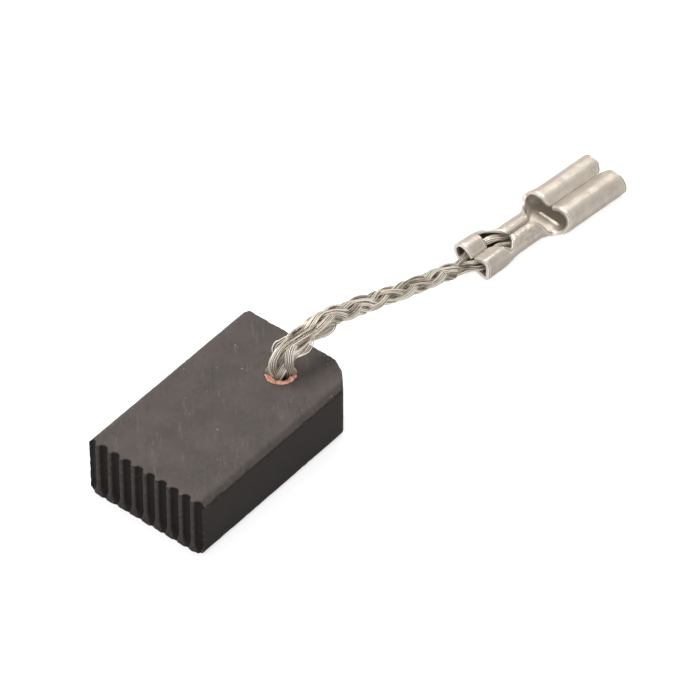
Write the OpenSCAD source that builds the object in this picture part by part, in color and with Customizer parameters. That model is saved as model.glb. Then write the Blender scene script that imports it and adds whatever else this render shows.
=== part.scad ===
// Carbon brush for a power-tool motor: a pressed carbon block with a serrated contact face, a braided
// copper pigtail tamped into its rear end, and a stamped push-on receptacle crimped on the braid.
// Millimetres. +X runs from the contact face to the spring end, +Z is up, and the origin is the
// centre of the block's bottom face.

/* [Carbon block] */
// Length, from the serration crests to the spring end
block_l = 22; // [16:0.5:32]
// Width across the serrations
block_w = 13.5; // [11:0.5:20]
// Thickness
block_h = 6.5; // [5.5:0.1:9]
// Leg of the 45 degree chamfer along the four long edges
edge_chamfer = 0.55; // [0.2:0.05:1]
// Leg of the 45 degree corner cut at the spring end, which keys the block in its holder
corner_cut = 2.25; // [1:0.05:3.5]
// Leg of the worn corner at the contact face, on the far side from the cut corner
worn_corner = 0.4; // [0.2:0.05:0.6]

/* [Serrations] */
// Number of grooves in the contact face
groove_count = 10; // [4:1:12]
// Distance between two grooves
groove_pitch = 1.38; // [1.1:0.01:1.6]
// Radius of one groove, whose axis lies in the contact face
groove_r = 0.48; // [0.2:0.01:0.53]

/* [Pigtail hole] */
// Diameter of the blind hole
hole_d = 3; // [2.6:0.1:4]
// Depth of the blind hole
hole_depth = 4.4; // [3:0.1:5]
// Distance of the hole's axis from the spring end
hole_inset = 4.5; // [3.5:0.1:7]
// Distance of the hole's axis from the middle of the width, towards the cut corner
hole_side = 1.3; // [0:0.1:3]

/* [Tamped copper] */
// Depth of the tamped powder's face below the block's top face
tamp_recess = 0.15; // [0:0.05:0.5]
// Radial gap between the tamped powder and the hole's wall
tamp_gap = 0.01; // [0.01:0.01:0.05]
// Radial gap between the tamped powder and the braid
braid_gap = 0.05; // [0.02:0.01:0.1]

/* [Pigtail braid] */
// Scale of the braid's thickness, where 1 is a braid of 2 mm
braid_scale = 1; // [0.85:0.05:1.1]

/* [Receptacle terminal] */
// Thickness of the tinned sheet
sheet_t = 0.4; // [0.3:0.05:0.45]
// Length of the rear crimp's left wing
grip_l = 2.2; // [1.5:0.1:3]
// How much further forward the rear crimp's right wing runs
grip_extra = 0.8; // [0.2:0.1:1.2]
// Length from the left wing to the wire crimp, where the braid shows
window_l = 2.2; // [1.8:0.1:3]
// Length of the wire crimp
crimp_l = 3; // [2:0.1:4]
// Length of the neck between the wire crimp and the receptacle's rolls
neck_l = 2.6; // [2:0.1:3.5]
// Length of the two rolls that grip the tab
roll_l = 7.6; // [5:0.1:9]
// Half of the receptacle's flat floor
roll_floor = 1.7; // [1.6:0.05:2.2]
// Centreline radius of the receptacle's rolls
roll_r = 1; // [0.9:0.05:1.2]
// Turn of the terminal in plan, from straight behind the block towards the cut corner's side
terminal_turn = 6; // [0:0.5:12]

/* [Hidden] */
$fn = 64;

hole_x = block_l / 2 - hole_inset;
hole_y = -hole_side;
tamp_depth = hole_depth - tamp_recess;
eps = 0.01;

// Route of the braid's centre line, from inside the hole to inside the wire crimp: [along, sideways,
// height, thickness]. It is measured from the hole's axis, and its height from a straight line that falls
// from the block's top face at the hole to the floor at the terminal's rear end.
route = [
    [0, 0, -4.1, 2],
    [0, 0, -2.8, 2],
    [0, 0, -1.4, 2],
    [0, 0, -0.1, 2],
    [0.1, 0, 0.9, 2.1],
    [0.4, -0.1, 1.85, 2.1],
    [0.95, -0.25, 2.7, 2],
    [1.75, -0.45, 3.4, 2],
    [2.75, -0.65, 4, 1.9],
    [3.9, -0.75, 4.4, 1.9],
    [5.1, -0.8, 4.5, 1.8],
    [6.4, -0.75, 4.3, 1.8],
    [7.9, -0.65, 3.95, 1.8],
    [9.7, -0.55, 3.5, 1.8],
    [11.7, -0.45, 3.05, 1.8],
    [13.8, -0.4, 2.6, 1.8],
    [16, -0.4, 2.2, 1.8],
    [18.2, -0.45, 1.85, 1.8],
    [20.4, -0.5, 1.55, 1.8],
    [22.5, -0.55, 1.35, 1.7],
    [24.5, -0.6, 1.2, 1.6],
    [26, -0.6, 1.25, 1.1],
    [27, -0.7, 1.2, 0.7],
    [28.9, -1.1, 1.15, 0.7],
    [31.1, -1.65, 1, 0.8],
    [32.5, -1.85, 0.95, 0.8],
    [33.4, -1.95, 0.95, 0.8]
];
braid_sides = 8;
terminal_reach = 26.7;
// Thickness of the braid inside the block
braid_d = route[0][3] * braid_scale;
// Rear end of the terminal, at the middle of its floor's underside
terminal_x = hole_x + terminal_reach;
terminal_y = hole_y - 1.25;

// ---- Bend tables of the terminal ----
// Half a cross-section is a walk along the sheet's centre line, outwards from the middle of the floor.
// Each step is [length, turn in degrees].
function straight(len) = [len, 0];
function kink(turn) = [0, turn];
function arc(r, turn) = [r * turn * PI / 180, turn];

grip_right = [
    kink(-14), straight(1.62), arc(0.35, 104), straight(1), arc(0.5, 108), straight(1.15), arc(0.6, 6)
];
grip_left = [kink(-12), straight(0.85), arc(1, 102), straight(0), arc(1, 90), straight(0.1), arc(0.9, 60)];
crimp_half = [
    kink(0), straight(0.55), arc(0.85, 90), straight(0), arc(0.85, 90), straight(0.05), arc(0.35, 60)
];
// The lips turn down into the middle, and reach it whatever the floor's width
lip_r = 0.95;
lip_turn = 80;
seam_gap = 0.05;
lip_half_t = sheet_t / 2 * sin(lip_turn);
roll_top = roll_floor - lip_r * sin(lip_turn) - lip_half_t - seam_gap / 2;
roll_half = [
    kink(0), straight(roll_floor), arc(roll_r, 90), straight(0), arc(roll_r, 90), straight(roll_top),
    arc(lip_r, lip_turn)
];

// Positions along the terminal where the blank's outline steps
grip_end = grip_l;
right_grip_end = grip_end + grip_extra;
crimp_start = grip_end + window_l;
crimp_end = crimp_start + crimp_l;
roll_start = crimp_end + neck_l;
terminal_l = roll_start + roll_l;
lead_in = 0.6;

// A station is [place, sideways shift, height of the floor's centre line, right half, left half,
// width of the open channel on the right, and on the left].
floor_z = sheet_t / 2;
grip_floor_z = sheet_t / 2 + 0.42;
grip_shift = 0.5;
function blend(a, b, k) = a + (b - a) * k;
function grip_station(u, k, open_right, open_left) = [
    u, grip_shift * (1 - k), blend(grip_floor_z, floor_z, k),
    blend(grip_right, crimp_half, k), blend(grip_left, crimp_half, k), open_right, open_left
];
function neck_station(u, k, open) = [
    u, 0, floor_z, blend(crimp_half, roll_half, k), blend(crimp_half, roll_half, k), open, open
];
stations = [
    for (k = [0:3]) grip_station(grip_end * k / 3, 0.05 * k, 2.6, 2.4),
    grip_station(right_grip_end, 0.5, 2.6, 2.3),
    grip_station(blend(right_grip_end, crimp_start, 0.3), 0.7, 2.6, 2.35),
    grip_station(blend(right_grip_end, crimp_start, 0.7), 0.9, 2.55, 2.45),
    for (k = [0:3]) neck_station(crimp_start + crimp_l * k / 3, 0, 2.5 - 0.15 * k),
    neck_station(crimp_end + neck_l * 0.27, 0.3, 1.7),
    neck_station(crimp_end + neck_l * 0.5, 0.55, 1.45),
    neck_station(crimp_end + neck_l * 0.65, 0.75, 2),
    neck_station(crimp_end + neck_l * 0.78, 0.9, 2.8),
    neck_station(crimp_end + neck_l * 0.9, 1, 3.5),
    for (k = [0:3]) neck_station(roll_start + (roll_l - lead_in) * k / 3, 1, 4.1),
    neck_station(terminal_l, 1, 4.1)
];
channel_cols = 9;
wing_cols = 8;
half_cols = channel_cols + wing_cols;
last_station = len(stations) - 1;

// Length of a half section's walk, and its shortening where the lips are cut back for the tab's lead-in
function half_len(half, i = 0) = i == len(half) ? 0 : half[i][0] + half_len(half, i + 1);
function lip_cut(i) = i == last_station ? 0.9 : 0;

// Step of an arc or a straight, from heading h
function chord(len, turn, h) =
    let (across = abs(turn) < eps ? len : len * sin(turn / 2) / (turn / 2 * PI / 180))
    across * [cos(h + turn / 2), sin(h + turn / 2)];
// Place and heading at distance s along a half section: [outwards, up, heading]
function walk(half, s, i = 0, at = [0, 0], h = 0) =
    i == len(half) - 1 || s <= half[i][0] && half[i][0] > 0
    ? let (turn = half[i][1] * s / max(half[i][0], eps), p = at + chord(s, turn, h)) [p[0], p[1], h + turn]
    : walk(half, s - half[i][0], i + 1, at + chord(half[i][0], half[i][1], h), h + half[i][1]);
// Distance along the half section of column j, at station i
function column_s(i, j, half, open) = j <= channel_cols
    ? open * j / channel_cols
    : open + (half_len(half) - lip_cut(i) - open) * (j - channel_cols) / wing_cols;
// One point of the sheet: station i, signed column j (left is positive), face is +1 outside, -1 inside
function sheet_point(i, j, face) =
    let (
        st = stations[i],
        side = j < 0 ? -1 : 1,
        half = j < 0 ? st[3] : st[4],
        open = j < 0 ? st[5] : st[6],
        w = walk(half, column_s(i, abs(j), half, open)),
        h = j == 0 ? 0 : w[2],
        out = w[0] + face * sheet_t / 2 * sin(h),
        up = w[1] - face * sheet_t / 2 * cos(h)
    )
    [st[0], st[1] + side * out, st[2] + up];

// The blank: which cells of the grid hold metal
function in_span(u, a, b) = u > a - eps && u < b - eps;
function has_wing(u, j) =
    in_span(u, 0, j < 0 ? right_grip_end : grip_end)
    || in_span(u, crimp_start, crimp_end) || in_span(u, roll_start, terminal_l);
function is_metal(i, j) =
    i < 0 || i >= last_station || j < -half_cols || j >= half_cols ? false
    : j >= -channel_cols && j < channel_cols ? true
    : has_wing(stations[i][0], j);

module carbon_block() {
    color([0.36, 0.33, 0.32])
    difference() {
        intersection() {
            long_section();
            plan_outline();
        }
        serrations();
        pigtail_hole();
    }
}

// Section across the length, with the four chamfered edges, drawn along the whole length
module long_section() {
    half_w = block_w / 2;
    flat_w = half_w - edge_chamfer;
    flat_h = block_h - edge_chamfer;
    translate([-block_l / 2, 0, 0])
    rotate([90, 0, 90])
    linear_extrude(block_l)
    polygon([
        [-flat_w, 0], [flat_w, 0], [half_w, edge_chamfer], [half_w, flat_h],
        [flat_w, block_h], [-flat_w, block_h], [-half_w, flat_h], [-half_w, edge_chamfer]
    ]);
}

// Outline from above, with the cut corner at the spring end and the worn one at the contact face
module plan_outline() {
    half_l = block_l / 2;
    half_w = block_w / 2;
    translate([0, 0, -1])
    linear_extrude(block_h + 2)
    polygon([
        [-half_l, -half_w - 1], [half_l - corner_cut - 1, -half_w - 1],
        [half_l, -half_w + corner_cut], [half_l, half_w + 1],
        [-half_l + worn_corner + 1, half_w + 1], [-half_l, half_w - worn_corner]
    ]);
}

module serrations() {
    for (i = [0:groove_count - 1])
    translate([-block_l / 2, (i - (groove_count - 1) / 2) * groove_pitch, -1])
    cylinder(r = groove_r, h = block_h + 2);
}

module pigtail_hole() {
    translate([hole_x, hole_y, block_h - hole_depth])
    cylinder(d = hole_d, h = hole_depth + 1);
}

// Copper powder tamped round the braid, a plug as deep as the hole with the braid's end in it
module copper_tamping() {
    color([0.8, 0.45, 0.33])
    translate([hole_x, hole_y, block_h - hole_depth])
    difference() {
        cylinder(d = hole_d - 2 * tamp_gap, h = tamp_depth);
        translate([0, 0, hole_depth + route[0][2] - braid_gap])
        cylinder(d = braid_d + 2 * braid_gap, h = hole_depth);
    }
}

// A four-sided face as two triangles
function halves(q) = [[q[0], q[1], q[2]], [q[0], q[2], q[3]]];

// Braid as a plain tube with one ring of points at each point of its route
function line_height(along) = block_h * (1 - min(along / terminal_reach, 1));
function route_point(i) = [
    hole_x + route[i][0], hole_y + route[i][1], line_height(route[i][0]) + route[i][2]
];
function unit(v) = v / norm(v);
function tangent(i) = unit(route_point(min(i + 1, len(route) - 1)) - route_point(max(i - 1, 0)));
function tube_ring(i) =
    let (
        t = tangent(i),
        side = unit([0, 1, 0] - t * t[1]),
        up = cross(side, t),
        r = route[i][3] * braid_scale / 2
    )
    [
        for (k = [0:braid_sides - 1])
        let (a = 360 * k / braid_sides)
        route_point(i) + r * (side * cos(a) + up * sin(a))
    ];

module pigtail() {
    n = braid_sides;
    last = len(route) - 1;
    points = [for (i = [0:last]) each tube_ring(i)];
    walls = [
        for (i = [0:last - 1], k = [0:n - 1])
        each halves([i * n + k, i * n + (k + 1) % n, (i + 1) * n + (k + 1) % n, (i + 1) * n + k])
    ];
    start_cap = [for (k = [n - 1:-1:0]) k];
    end_cap = [for (k = [0:n - 1]) last * n + k];
    color([0.75, 0.71, 0.64])
    polyhedron(points = points, faces = concat([start_cap, end_cap], walls), convexity = 6);
}

module terminal() {
    color([0.77, 0.73, 0.68])
    translate([terminal_x, terminal_y, 0])
    rotate([0, 0, -terminal_turn])
    union() {
        folded_sheet();
        tab_stop();
    }
}

// The folded sheet: two faces of a grid in which only the blank's cells are filled
module folded_sheet() {
    row = 2 * half_cols + 1;
    layer = (last_station + 1) * row;
    points = [
        for (face = [-1, 1], i = [0:last_station], j = [-half_cols:half_cols]) sheet_point(i, j, face)
    ];
    cells = [for (i = [0:last_station - 1], j = [-half_cols:half_cols - 1]) if (is_metal(i, j)) [i, j]];
    function at(i, j, outer) = i * row + j + half_cols + outer * layer;
    inner_faces = [for (c = cells) [
        at(c[0], c[1], 0), at(c[0], c[1] + 1, 0), at(c[0] + 1, c[1] + 1, 0), at(c[0] + 1, c[1], 0)]];
    outer_faces = [for (c = cells) [
        at(c[0], c[1], 1), at(c[0] + 1, c[1], 1), at(c[0] + 1, c[1] + 1, 1), at(c[0], c[1] + 1, 1)]];
    rear_edges = [for (c = cells) if (!is_metal(c[0] - 1, c[1])) [
        at(c[0], c[1], 0), at(c[0], c[1], 1), at(c[0], c[1] + 1, 1), at(c[0], c[1] + 1, 0)]];
    front_edges = [for (c = cells) if (!is_metal(c[0] + 1, c[1])) [
        at(c[0] + 1, c[1], 0), at(c[0] + 1, c[1] + 1, 0), at(c[0] + 1, c[1] + 1, 1), at(c[0] + 1, c[1], 1)]];
    right_edges = [for (c = cells) if (!is_metal(c[0], c[1] - 1)) [
        at(c[0], c[1], 0), at(c[0] + 1, c[1], 0), at(c[0] + 1, c[1], 1), at(c[0], c[1], 1)]];
    left_edges = [for (c = cells) if (!is_metal(c[0], c[1] + 1)) [
        at(c[0], c[1] + 1, 0), at(c[0], c[1] + 1, 1), at(c[0] + 1, c[1] + 1, 1), at(c[0] + 1, c[1] + 1, 0)]];
    quads = concat(inner_faces, outer_faces, rear_edges, front_edges, right_edges, left_edges);
    polyhedron(points = points, faces = [for (q = quads) each halves(q)], convexity = 10);
}

// Bead pressed up across the receptacle's floor, which stops the tab
module tab_stop() {
    bead_r = 0.2;
    bead_l = 2.4;
    bead_inset = 0.1;
    translate([roll_start + bead_inset, bead_l / 2, sheet_t - bead_r / 2])
    rotate([90, 0, 0])
    cylinder(r = bead_r, h = bead_l);
}

carbon_block();
copper_tamping();
pigtail();
terminal();
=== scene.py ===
"""A carbon brush for a power-tool motor, dressed for the studio.

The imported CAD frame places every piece. The classes below build the surfaces that show: the pressed carbon
block, the copper powder tamped round its pigtail, the braided pigtail itself and the push-on receptacle
crimped on its end. Lengths are in millimetres unless a comment says otherwise.
"""

import logging
import math
from dataclasses import dataclass
from enum import Enum
from typing import Sequence

import bpy
import numpy as np
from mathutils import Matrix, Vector, geometry, noise


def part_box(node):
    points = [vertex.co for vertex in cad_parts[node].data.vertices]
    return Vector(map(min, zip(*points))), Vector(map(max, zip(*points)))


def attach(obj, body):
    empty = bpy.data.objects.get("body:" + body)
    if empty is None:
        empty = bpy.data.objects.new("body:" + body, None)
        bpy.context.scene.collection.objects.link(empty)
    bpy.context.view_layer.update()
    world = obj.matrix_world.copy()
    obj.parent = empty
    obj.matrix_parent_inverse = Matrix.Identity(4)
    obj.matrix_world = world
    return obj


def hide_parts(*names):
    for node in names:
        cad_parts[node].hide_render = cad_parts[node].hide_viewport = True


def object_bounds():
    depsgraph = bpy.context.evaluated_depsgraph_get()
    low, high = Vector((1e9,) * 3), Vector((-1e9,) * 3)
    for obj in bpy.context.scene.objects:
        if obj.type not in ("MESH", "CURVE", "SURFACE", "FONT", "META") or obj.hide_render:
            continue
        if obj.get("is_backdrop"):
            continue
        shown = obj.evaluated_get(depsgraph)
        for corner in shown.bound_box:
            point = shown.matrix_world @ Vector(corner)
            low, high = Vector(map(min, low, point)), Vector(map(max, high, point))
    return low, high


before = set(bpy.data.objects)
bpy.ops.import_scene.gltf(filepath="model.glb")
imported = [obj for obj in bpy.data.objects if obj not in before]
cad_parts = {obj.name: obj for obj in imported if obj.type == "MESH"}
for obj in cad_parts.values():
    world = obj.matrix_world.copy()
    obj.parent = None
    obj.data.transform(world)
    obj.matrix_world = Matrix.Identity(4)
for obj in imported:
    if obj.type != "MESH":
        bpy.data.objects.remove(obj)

MM = 0.001
TINY = 1e-9
WHITE = (1.0, 1.0, 1.0)
LOG = logging.getLogger("carbon_brush")

Array = np.ndarray
Socket = bpy.types.NodeSocket
Triple = tuple[float, float, float]
Colour = Triple
Line = tuple[tuple[float, float], ...]
Bend = tuple[float, float]


class Op(Enum):
    """The arithmetic that the shader graphs use."""

    ADD = "ADD"
    MULTIPLY = "MULTIPLY"
    LESS = "LESS_THAN"
    MAXIMUM = "MAXIMUM"


# ---------------------------------------------------------------------------------------------
# Node graphs
# ---------------------------------------------------------------------------------------------


class NodeGraph:
    """A node tree, with short ways to add nodes and join them."""

    prefix = ""

    def __init__(self, tree: bpy.types.NodeTree) -> None:
        """Starts from an emptied tree."""
        self.tree = tree
        tree.nodes.clear()

    def add(self, kind: str, inputs: dict | None = None, **settings: object) -> bpy.types.Node:
        """Adds a node.

        Args:
            kind: the node's type, which may leave out the prefix of this tree's own nodes.
            inputs: what goes into the node's inputs, by name or number.
            settings: the node's own properties.

        Returns:
            The node.
        """
        node = self.tree.nodes.new(kind if "Node" in kind else self.prefix + kind)
        for key, value in settings.items():
            setattr(node, key, value)
        for key, value in (inputs or {}).items():
            self.feed(node.inputs[key], value)
        return node

    def feed(self, socket: Socket, value: object) -> None:
        """Feeds an input.

        Args:
            socket: the input.
            value: an output, a node for its first output, a list of these, or the input's own value.
        """
        if isinstance(value, list):
            for part in value:
                self.feed(socket, part)
        elif isinstance(value, bpy.types.Node):
            self.tree.links.new(value.outputs[0], socket)
        elif isinstance(value, Socket):
            self.tree.links.new(value, socket)
        elif socket.type == "RGBA" and len(value) == 3:
            socket.default_value = (*value, 1.0)
        else:
            socket.default_value = value


class ShaderGraph(NodeGraph):
    """The node tree of a material or a world."""

    prefix = "ShaderNode"

    def __init__(self, owner: bpy.types.Material | bpy.types.World) -> None:
        """Starts the owner's tree.

        Args:
            owner: the material or world.
        """
        owner.use_nodes = True
        super().__init__(owner.node_tree)
        self.owner = owner

    def coords(self, scale: Triple = (1.0, 1.0, 1.0), turn: float = 0.0) -> Socket:
        """Object coordinates in millimetres.

        Args:
            scale: how much each axis is stretched, after the turn.
            turn: the pattern's turn about the upright axis, in degrees.

        Returns:
            The vector output.
        """
        place = self.add("TexCoord").outputs["Object"]
        turned = self.add("Mapping", {"Vector": place, "Rotation": (0.0, 0.0, math.radians(turn))})
        return self.add("Mapping", {"Vector": turned, "Scale": tuple(s / MM for s in scale)}).outputs[0]

    def noise(self, place: Socket, scale: float, detail: float = 2.0, rough: float = 0.5) -> Socket:
        """A noise texture's factor, with its features about 1 / scale millimetres wide."""
        values = {"Vector": place, "Scale": scale, "Detail": detail, "Roughness": rough}
        return self.add("TexNoise", values).outputs["Fac"]

    def math(self, op: Op, a: object, b: object, clamp: bool = False) -> Socket:
        """Arithmetic on two values or sockets."""
        return self.add("Math", {0: a, 1: b}, operation=op.value, use_clamp=clamp).outputs[0]

    def times(self, a: object, b: object, clamp: bool = False) -> Socket:
        """The product of two values or sockets."""
        return self.math(Op.MULTIPLY, a, b, clamp)

    def span(
        self, value: object, low: float, high: float, to_low: float = 0.0, to_high: float = 1.0
    ) -> Socket:
        """Maps a value's span onto another, clamped at its ends."""
        values = {"Value": value, "From Min": low, "From Max": high, "To Min": to_low, "To Max": to_high}
        return self.add("MapRange", values, clamp=True).outputs["Result"]

    def band(self, value: Socket, start: float, full: float, fall: float, end: float) -> Socket:
        """1 from full to fall, running out to 0 at start and end."""
        return self.times(self.span(value, start, full), self.span(value, end, fall))

    def ramp(self, factor: Socket, *stops: tuple[float, Colour]) -> Socket:
        """A colour ramp.

        Args:
            factor: what runs along the ramp.
            stops: two or more places from 0 to 1, each with its colour.

        Returns:
            The colour output.
        """
        node = self.add("ValToRGB", {"Fac": factor})
        elements = node.color_ramp.elements
        for _ in stops[2:]:
            elements.new(0.5)
        for element, (place, colour) in zip(elements, stops):
            element.position, element.color = place, (*colour, 1.0)
        return node.outputs["Color"]

    def blend(self, share: object, a: object, b: object) -> Socket:
        """A mix of two colours."""
        return self.add("Mix", {"Factor": share, 6: a, 7: b}, data_type="RGBA").outputs[2]

    def coats(self, body: object, *coats: tuple[Socket, Colour]) -> Socket:
        """Lays coats of colour over a base, one after another.

        Args:
            body: the base colour.
            coats: the share that each coat covers, and its colour.

        Returns:
            The colour output.
        """
        for share, colour in coats:
            body = self.blend(share, body, colour)
        return body

    def dots(self, place: Socket, scale: float, bare: float, radius: float) -> Socket:
        """Round specks of uneven size.

        Args:
            place: the coordinates.
            scale: how many cells there are in a millimetre.
            bare: the share of the cells that has no speck.
            radius: the largest speck's radius, in cells.

        Returns:
            1 in a speck and 0 outside.
        """
        cells = self.add("TexVoronoi", {"Vector": place, "Scale": scale, "Randomness": 1.0}).outputs
        choose = self.add("SeparateColor", {0: cells["Color"]}).outputs[0]
        return self.math(Op.LESS, cells["Distance"], self.span(choose, bare, 1.0, 0.0, radius))

    def bump(self, height: Socket, distance: float, strength: float, over: Socket | None = None) -> Socket:
        """A bump normal.

        Args:
            height: the height's socket.
            distance: the height of a full step.
            strength: how much of it shows.
            over: the normal that it is laid over, if any.

        Returns:
            The normal output.
        """
        values = {"Height": height, "Distance": distance * MM, "Strength": strength}
        if over is not None:
            values["Normal"] = over
        return self.add("Bump", values).outputs["Normal"]

    def attribute(self, name: str) -> Socket:
        """A mesh attribute's value."""
        return self.add("Attribute", attribute_name=name).outputs["Fac"]

    def upward(self) -> Socket:
        """How far the surface faces up, from -1 to 1."""
        return self.add("SeparateXYZ", {0: self.add("NewGeometry").outputs["Normal"]}).outputs["Z"]

    def finish(self, shader: bpy.types.Node, output: str = "OutputMaterial") -> bpy.types.ID:
        """Joins the shader to an output and returns the material or the world."""
        self.add(output, {"Surface": shader})
        return self.owner


class GeometryGraph(NodeGraph):
    """A geometry node tree with named inputs, run once on an object and turned into a plain mesh."""

    prefix = "GeometryNode"

    def __init__(self, name: str) -> None:
        """Starts the tree with a geometry going in and one coming out.

        Args:
            name: the tree's name.
        """
        super().__init__(bpy.data.node_groups.new(name, "GeometryNodeTree"))
        for way in ("INPUT", "OUTPUT"):
            self.tree.interface.new_socket("Geometry", in_out=way, socket_type="NodeSocketGeometry")
        self.entry = self.add("NodeGroupInput")
        self.sizes: dict[str, object] = {}

    def size(self, name: str, value: object) -> Socket:
        """Adds a named input.

        Args:
            name: the input's name.
            value: the number or the material that the modifier sets it to.

        Returns:
            The input's socket inside the tree.
        """
        kind = {int: "Int", float: "Float"}.get(type(value), "Material")
        item = self.tree.interface.new_socket(name, in_out="INPUT", socket_type="NodeSocket" + kind)
        self.sizes[item.identifier] = value
        return self.entry.outputs[name]

    def moved(self, shape: bpy.types.Node, place: Triple) -> bpy.types.Node:
        """A shape moved to a place, in metres."""
        return self.add("Transform", {"Geometry": shape, "Translation": place})

    def run(
        self, obj: bpy.types.Object, result: bpy.types.Node, finish: bpy.types.Material
    ) -> bpy.types.Mesh:
        """Ends the tree in Realize Instances and Set Material, and runs it on an object.

        Args:
            obj: the object whose geometry goes in.
            result: the node whose geometry comes out.
            finish: the material.

        Returns:
            The result as a plain mesh.
        """
        real = self.add("RealizeInstances", {0: result})
        dressed = self.add("SetMaterial", {"Geometry": real, "Material": self.size("Finish", finish)})
        self.add("NodeGroupOutput", {0: dressed})
        modifier = obj.modifiers.new("build", "NODES")
        modifier.node_group = self.tree
        for identifier, value in self.sizes.items():
            modifier[identifier] = value
        return with_modifiers(obj)


# ---------------------------------------------------------------------------------------------
# Meshes and numbers
# ---------------------------------------------------------------------------------------------


def shown(name: str, data: bpy.types.ID) -> bpy.types.Object:
    """Puts data in the scene as an object at the origin.

    Args:
        name: the object's name.
        data: a mesh, a lamp or a camera.

    Returns:
        The object.
    """
    obj = bpy.data.objects.new(name, data)
    bpy.context.scene.collection.objects.link(obj)
    return obj


def mesh_of(
    name: str, points: Sequence, faces: Sequence[Sequence[int]], edges: Sequence[Sequence[int]] = ()
) -> bpy.types.Mesh:
    """A mesh of points in millimetres.

    Args:
        name: the mesh's name.
        points: one row a point.
        faces: the points of each face, counter-clockwise from outside.
        edges: the two points of each edge that has no face.

    Returns:
        The mesh, in metres.
    """
    mesh = bpy.data.meshes.new(name)
    mesh.from_pydata((np.asarray(points, float) * MM).tolist(), edges, faces)
    mesh.update()
    return mesh


def places_of(mesh: bpy.types.Mesh) -> Array:
    """A mesh's points in millimetres, one row a point."""
    return np.array([vertex.co for vertex in mesh.vertices], float) / MM


def set_places(mesh: bpy.types.Mesh, points: Array) -> None:
    """Moves a mesh's points to places in millimetres."""
    mesh.vertices.foreach_set("co", (points * MM).astype(np.float32).ravel())
    mesh.update()


def set_values(mesh: bpy.types.Mesh, **values: Array) -> None:
    """Stores one number a point under each attribute's name."""
    for name, numbers in values.items():
        mesh.attributes.new(name, "FLOAT", "POINT").data.foreach_set("value", np.asarray(numbers, np.float32))


def with_modifiers(obj: bpy.types.Object) -> bpy.types.Mesh:
    """Takes an object's modifiers off it.

    Args:
        obj: the object.

    Returns:
        The mesh that its modifiers made.
    """
    graph = bpy.context.evaluated_depsgraph_get()
    mesh = bpy.data.meshes.new_from_object(obj.evaluated_get(graph), depsgraph=graph)
    obj.modifiers.clear()
    return mesh


def smooth(mesh: bpy.types.Mesh) -> None:
    """Shades every face smooth."""
    mesh.polygons.foreach_set("use_smooth", [True] * len(mesh.polygons))
    mesh.update()


def relaxed(mesh: bpy.types.Mesh, points: Array, rounds: int) -> Array:
    """Points drawn towards their neighbours.

    Args:
        mesh: the mesh whose edges say which points are neighbours.
        points: where the points are.
        rounds: how many times each point moves to the middle of its neighbours.

    Returns:
        The new places.
    """
    edges = np.zeros(len(mesh.edges) * 2, np.int64)
    mesh.edges.foreach_get("vertices", edges)
    a, b = edges.reshape(-1, 2).T
    ends, others = np.r_[a, b], np.r_[b, a]
    count = np.bincount(ends, minlength=len(points))
    for _ in range(rounds):
        points = np.stack([np.bincount(ends, column[others], len(points)) / count for column in points.T], 1)
    return points


def noise_at(points: Array, scale: float, seed: float) -> Array:
    """Smooth noise from about -1 to 1 at each point, with features about 1 / scale millimetres wide."""
    shift = Vector((seed, -seed, 2.0 * seed))
    return np.array([noise.noise(Vector(p) * scale + shift) for p in points])


def ease(x: Array) -> Array:
    """A smooth step from 0 to 1 over the same span."""
    t = np.clip(x, 0.0, 1.0)
    return t * t * (3.0 - 2.0 * t)


def bell(x: Array, middle: float, width: float) -> Array:
    """A hump of height 1 that is down to a third at width from its middle."""
    return np.exp(-(((x - middle) / width) ** 2))


def plateau(x: Array, start: float, rise: float, end: float, fall: float) -> Array:
    """1 in the middle, easing to 0 at start and end over the lengths rise and fall."""
    return ease((x - start) / rise) * ease((end - x) / fall)


def unit(vectors: Array) -> Array:
    """Vectors, one a row, drawn to length 1."""
    return vectors / np.linalg.norm(vectors, axis=1)[:, None]


def running(line: Array) -> Array:
    """The distance along a line at each of its points."""
    return np.r_[0, np.cumsum(np.linalg.norm(np.diff(line, axis=0), axis=1))]


def read(where: Array, run: Array, table: Array) -> Array:
    """The columns of a table at places along it, between the places of its rows."""
    return np.stack([np.interp(where, run, column) for column in table.T], 1)


def middle_of(node: str) -> Array:
    """The middle of a node's box in the frame, in millimetres."""
    low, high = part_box(node)
    return np.array((low + high) / 2) / MM


# ---------------------------------------------------------------------------------------------
# Finishes
# ---------------------------------------------------------------------------------------------


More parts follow.
